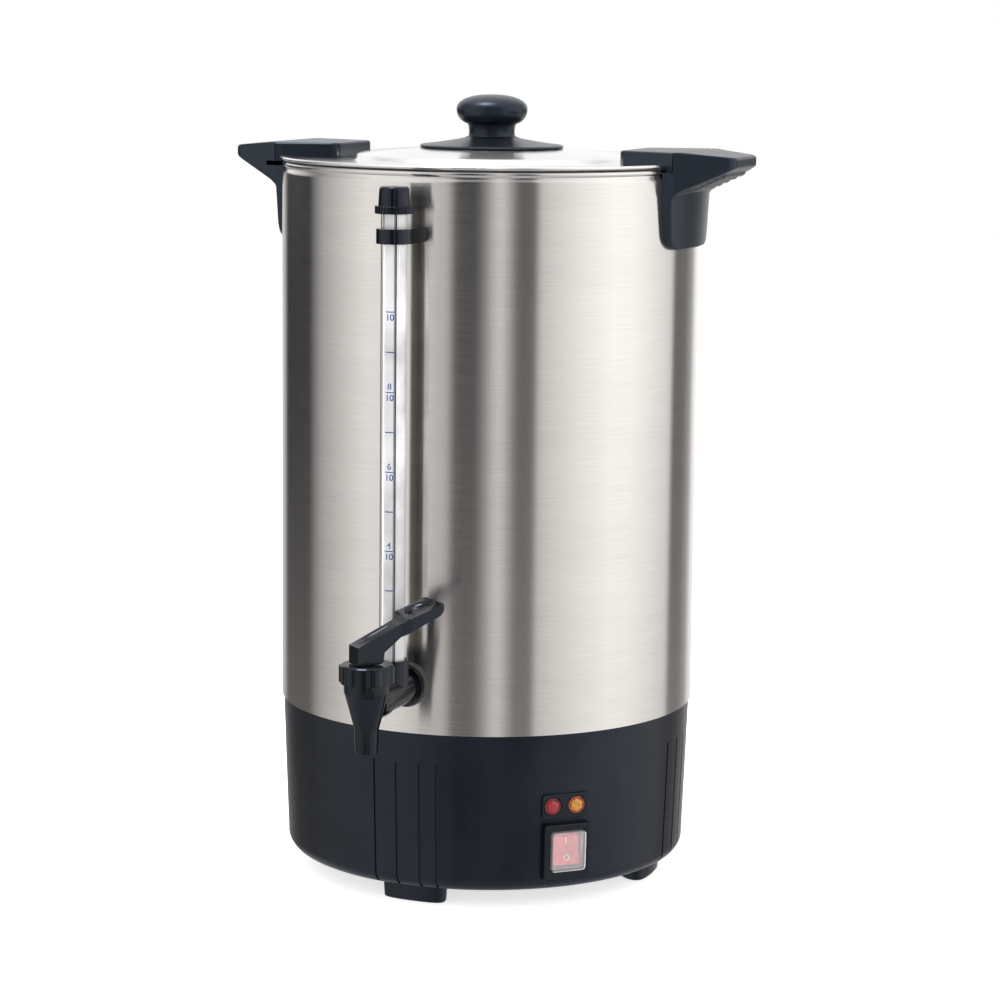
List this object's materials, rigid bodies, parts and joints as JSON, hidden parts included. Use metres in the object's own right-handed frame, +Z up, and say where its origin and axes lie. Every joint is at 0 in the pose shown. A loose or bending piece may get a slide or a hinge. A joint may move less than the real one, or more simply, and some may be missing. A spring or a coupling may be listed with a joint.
{
  "type": "brew kettle",
  "caption": "Electric stainless brew kettle: tall drum on a black base with twist-lock lid, side handles, sight gauge, lever spigot, rocker switch and indicator lamps.",
  "frame": {"origin": "on the tank axis, in the plane that the four feet stand on", "axes": "+Z up along the tank axis; -Y toward the spigot and the sight gauge; +X through the right handle, seen from the front"},
  "size_m": [0.356, 0.3672, 0.5243],
  "materials": {
    "brushed_steel": "brushed",
    "polished_steel": "polished",
    "black_phenolic": "satin",
    "base_plastic": "satin",
    "gloss_black": "gloss",
    "silicone": "matt",
    "clear_silicone": "translucent",
    "fastener_steel": "zinc plated",
    "aluminium": "cast",
    "element_sheath": "oxidised",
    "ceramic": "matt",
    "dark_phenolic": "matt",
    "nylon": "matt",
    "wire_insulation": "matt",
    "gauge_clear": "clear",
    "red_lens": "clear red",
    "amber_lens": "clear amber",
    "cover_clear": "clear flexible",
    "red_plastic": "gloss"
  },
  "bodies": {
    "kettle": {"tank": "brushed_steel", "handle_right": "black_phenolic", "handle_left": "black_phenolic", "handle_screws": "fastener_steel", "handle_washers": "silicone", "base_housing": "base_plastic", "base_cover": "base_plastic", "cover_screws": "fastener_steel", "foot_front": "base_plastic", "foot_right": "base_plastic", "foot_back": "base_plastic", "foot_left": "base_plastic", "foot_screws": "fastener_steel", "tie_rod": "fastener_steel", "tie_nut": "fastener_steel", "heater_plate": "aluminium", "heating_element": "element_sheath", "thermostat": "ceramic", "dry_boil_cutout": "dark_phenolic", "terminal_block": "nylon", "wiring": "wire_insulation", "cord_gland": "base_plastic", "gland_nut": "base_plastic", "lamp_panel": "base_plastic", "power_lamp": "nylon", "ready_lamp": "nylon", "power_lens": "red_lens", "ready_lens": "amber_lens", "switch_frame": "gloss_black", "switch_body": "gloss_black", "switch_cover": "cover_clear", "gauge_tube": "gauge_clear", "gauge_cap": "gloss_black", "gauge_clip": "gloss_black", "gauge_clip_screw": "fastener_steel", "gauge_seal": "silicone", "spigot_shank": "gloss_black", "shank_seal": "silicone", "shank_inner_seal": "silicone", "shank_nut": "gloss_black", "faucet_body": "gloss_black", "faucet_seal": "silicone", "bonnet": "gloss_black"},
    "lid_ring": {"lid_seal": "silicone"},
    "lid": {"lid": "polished_steel", "knob_plate": "black_phenolic", "knob": "black_phenolic", "knob_screw": "fastener_steel", "knob_washer": "fastener_steel", "lid_block_right": "black_phenolic", "lid_block_left": "black_phenolic", "block_screws": "fastener_steel"},
    "valve_spring": {"valve_spring": "fastener_steel"},
    "valve": {"valve_stem": "fastener_steel", "seat_cup": "clear_silicone", "lever_pin": "gloss_black"},
    "lever": {"lever": "gloss_black"},
    "rocker": {"switch_rocker": "red_plastic"}
  },
  "joints": [
    {"name": "lid_twist", "type": "hinge", "parent": "kettle", "child": "lid_ring", "pos_m": [0, 0, 0.4803], "axis": [0, 0, 1], "range_deg": [0, 40]},
    {"name": "lid_lift", "type": "slide", "parent": "lid_ring", "child": "lid", "axis": [0, 0, 1], "range_m": [0, 0.15]},
    {"name": "lever_swivel", "type": "hinge", "parent": "kettle", "child": "valve_spring", "pos_m": [0, -0.204, 0.175], "axis": [0, 0, 1], "range_deg": [-200, 5]},
    {"name": "stem_lift", "type": "slide", "parent": "valve_spring", "child": "valve", "axis": [0, 0, 1], "range_m": [0, 0.0034], "stiffness_N_per_m": 300, "springref_m": -0.006, "deforming": ["valve_spring"]},
    {"name": "lever_tilt", "type": "hinge", "parent": "valve", "child": "lever", "pos_m": [0, -0.204, 0.182], "axis": [-0.766, 0.6428, 0], "range_deg": [0, 30]},
    {"name": "rocker_tilt", "type": "hinge", "parent": "kettle", "child": "rocker", "pos_m": [0.09406, -0.0974, 0.03984], "axis": [0.7193, 0.6947, 0], "range_deg": [0, 16]}
  ],
  "couplings": [
    {"joint": "lever_tilt", "follows": "stem_lift", "rad_per_m": 153.9}
  ]
}
